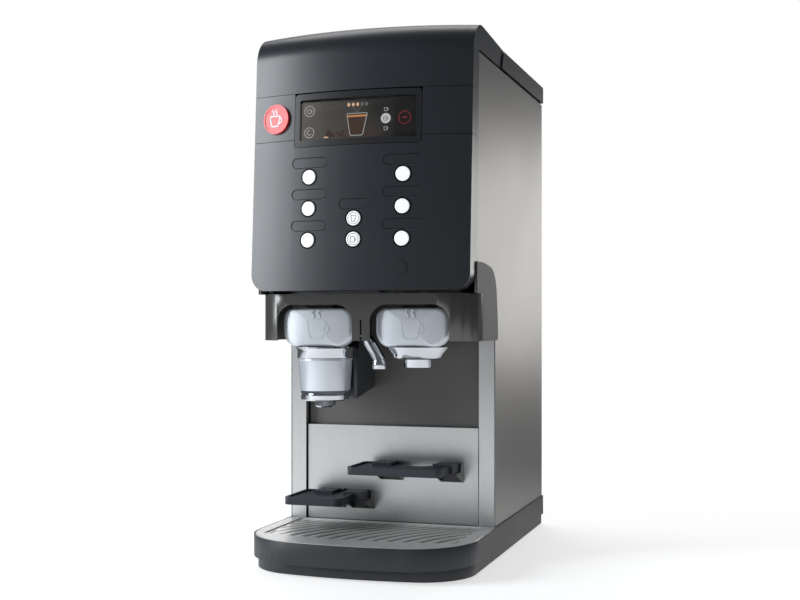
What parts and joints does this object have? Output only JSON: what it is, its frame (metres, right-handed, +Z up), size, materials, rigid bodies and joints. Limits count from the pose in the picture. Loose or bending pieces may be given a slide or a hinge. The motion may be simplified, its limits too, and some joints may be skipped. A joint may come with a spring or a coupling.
{
  "type": "hot coffee vending machine",
  "caption": "Counter-top hot drink dispenser with lift-up control hood, mixing outlets, hot-water spout, fold-up cup shelves and a pull-out drip tray.",
  "frame": {"origin": "middle of the footprint on the surface that the feet stand on", "axes": "+Z up, -Y towards the user, +X to the user's right"},
  "size_m": [0.34, 0.585, 0.7958],
  "materials": {
    "hood_plastic": "satin",
    "base_plastic": "satin",
    "side_paint": "metallic satin",
    "brushed_steel": "vertical brushed",
    "dark_wall": "satin",
    "titan_plastic": "metallic",
    "silver_plastic": "satin silver",
    "chrome": "polished",
    "clear_cone": "glossy",
    "button_white": "glossy",
    "trim_black": "glossy",
    "label_dark": "satin",
    "screen_glass": "clear",
    "screen": "display",
    "badge_red": "glossy",
    "rubber": "matt",
    "shelf_plastic": "satin",
    "zinc_sheet": "galvanised",
    "white_insulation": "matt",
    "pack_card": "matt",
    "boiler_steel": "satin",
    "board_green": "glossy",
    "lock_metal": "dark"
  },
  "bodies": {
    "machine": {"base_housing": "base_plastic", "tray_carrier": "base_plastic", "rubber_feet": "rubber", "chassis_frame": "zinc_sheet", "side_panel_left": "side_paint", "side_panel_right": "side_paint", "back_panel": "zinc_sheet", "lid": "hood_plastic", "column_left": "brushed_steel", "column_right": "brushed_steel", "splash_panel": "brushed_steel", "rear_wall": "dark_wall", "shelf_brackets": "shelf_plastic", "nozzle_hood": "titan_plastic", "hot_water_spout": "chrome", "whipper_housing": "trim_black", "hinge_pins": "zinc_sheet", "cool_cabinet": "white_insulation", "product_pack_left": "pack_card", "product_pack_right": "pack_card", "cooling_module": "trim_black", "boiler": "boiler_steel", "whipper_motors": "zinc_sheet", "inlet_valve": "chrome", "mains_inlet": "trim_black", "control_board": "board_green"},
    "hood": {"hood_shell": "hood_plastic", "fascia": "hood_plastic", "hood_band_left": "hood_plastic", "hood_band_right": "hood_plastic", "display_bezel": "trim_black", "display_glass": "screen_glass", "screen_module": "screen", "badge": "badge_red", "hood_frame": "base_plastic", "button_rings": "trim_black", "label_plates": "label_dark", "keypad_board": "board_green", "hinge_arms": "zinc_sheet"},
    "hood_pull": {"hood_pull": "hood_plastic"},
    "lock": {"lock_barrel": "lock_metal"},
    "drip_tray": {"drip_tray": "base_plastic", "tray_rim": "brushed_steel"},
    "drip_grid": {"drip_grid": "brushed_steel"},
    "shelf_left": {"shelf_left": "shelf_plastic"},
    "shelf_right": {"shelf_right": "shelf_plastic"},
    "outlet_left": {"outlet_cover_left": "silver_plastic", "outlet_body_left": "chrome", "mixing_cone": "clear_cone"},
    "outlet_right": {"outlet_cover_right": "silver_plastic", "outlet_body_right": "chrome"},
    "fan": {"fan_rotor": "trim_black"},
    "button_left_top": {"button_left_top": "button_white"},
    "button_left_middle": {"button_left_middle": "button_white"},
    "button_left_bottom": {"button_left_bottom": "button_white"},
    "button_right_top": {"button_right_top": "button_white"},
    "button_right_middle": {"button_right_middle": "button_white"},
    "button_right_bottom": {"button_right_bottom": "button_white"},
    "button_cup": {"button_cup": "button_white"},
    "button_jug": {"button_jug": "button_white"}
  },
  "joints": [
    {"name": "hood_lift", "type": "hinge", "parent": "machine", "child": "hood", "pos_m": [0, 0.0165, 0.7455], "axis": [-1, 0, 0], "range_deg": [0, 75]},
    {"name": "hood_pull_lever", "type": "hinge", "parent": "hood", "child": "hood_pull", "pos_m": [0, -0.2155, 0.417], "axis": [1, 0, 0], "range_deg": [0, 25], "stiffness_Nm_per_rad": 0.2, "springref_deg": -11.46},
    {"name": "drip_tray_slide", "type": "slide", "parent": "machine", "child": "drip_tray", "axis": [0, -1, 0], "range_m": [0, 0.2]},
    {"name": "drip_grid_lift", "type": "slide", "parent": "drip_tray", "child": "drip_grid", "axis": [0, 0, 1], "range_m": [0, 0.015]},
    {"name": "shelf_left_fold", "type": "hinge", "parent": "machine", "child": "shelf_left", "pos_m": [-0.084, -0.0788, 0.09425], "axis": [-1, 0, 0], "range_deg": [0, 90]},
    {"name": "shelf_right_fold", "type": "hinge", "parent": "machine", "child": "shelf_right", "pos_m": [0.049, -0.0788, 0.14125], "axis": [-1, 0, 0], "range_deg": [0, 90]},
    {"name": "outlet_left_slide", "type": "slide", "parent": "machine", "child": "outlet_left", "axis": [0, -1, 0], "range_m": [0, 0.07]},
    {"name": "outlet_right_slide", "type": "slide", "parent": "machine", "child": "outlet_right", "axis": [0, -1, 0], "range_m": [0, 0.07]},
    {"name": "fan_spin", "type": "hinge", "parent": "machine", "child": "fan", "pos_m": [0, 0.0891, 0.6553], "axis": [0, 1, 0], "continuous": true},
    {"name": "lock_turn", "type": "hinge", "parent": "hood", "child": "lock", "pos_m": [0.07, -0.24263, 0.441], "axis": [-0.1101, 0.992, -0.0621], "range_deg": [0, 90]},
    {"name": "button_left_top_press", "type": "slide", "parent": "hood", "child": "button_left_top", "axis": [0.1124, 0.9917, -0.0621], "range_m": [0, 0.0025], "stiffness_N_per_m": 400, "springref_m": -0.0005},
    {"name": "button_left_middle_press", "type": "slide", "parent": "hood", "child": "button_left_middle", "axis": [0.1124, 0.9917, -0.0621], "range_m": [0, 0.0025], "stiffness_N_per_m": 400, "springref_m": -0.0005},
    {"name": "button_left_bottom_press", "type": "slide", "parent": "hood", "child": "button_left_bottom", "axis": [0.1124, 0.9917, -0.0621], "range_m": [0, 0.0025], "stiffness_N_per_m": 400, "springref_m": -0.0005},
    {"name": "button_right_top_press", "type": "slide", "parent": "hood", "child": "button_right_top", "axis": [-0.1124, 0.9917, -0.0621], "range_m": [0, 0.0025], "stiffness_N_per_m": 400, "springref_m": -0.0005},
    {"name": "button_right_middle_press", "type": "slide", "parent": "hood", "child": "button_right_middle", "axis": [-0.1124, 0.9917, -0.0621], "range_m": [0, 0.0025], "stiffness_N_per_m": 400, "springref_m": -0.0005},
    {"name": "button_right_bottom_press", "type": "slide", "parent": "hood", "child": "button_right_bottom", "axis": [-0.1124, 0.9917, -0.0621], "range_m": [0, 0.0025], "stiffness_N_per_m": 400, "springref_m": -0.0005},
    {"name": "button_cup_press", "type": "slide", "parent": "hood", "child": "button_cup", "axis": [0, 0.9981, -0.0621], "range_m": [0, 0.0025], "stiffness_N_per_m": 400, "springref_m": -0.0005},
    {"name": "button_jug_press", "type": "slide", "parent": "hood", "child": "button_jug", "axis": [0, 0.9981, -0.0621], "range_m": [0, 0.0025], "stiffness_N_per_m": 400, "springref_m": -0.0005}
  ]
}
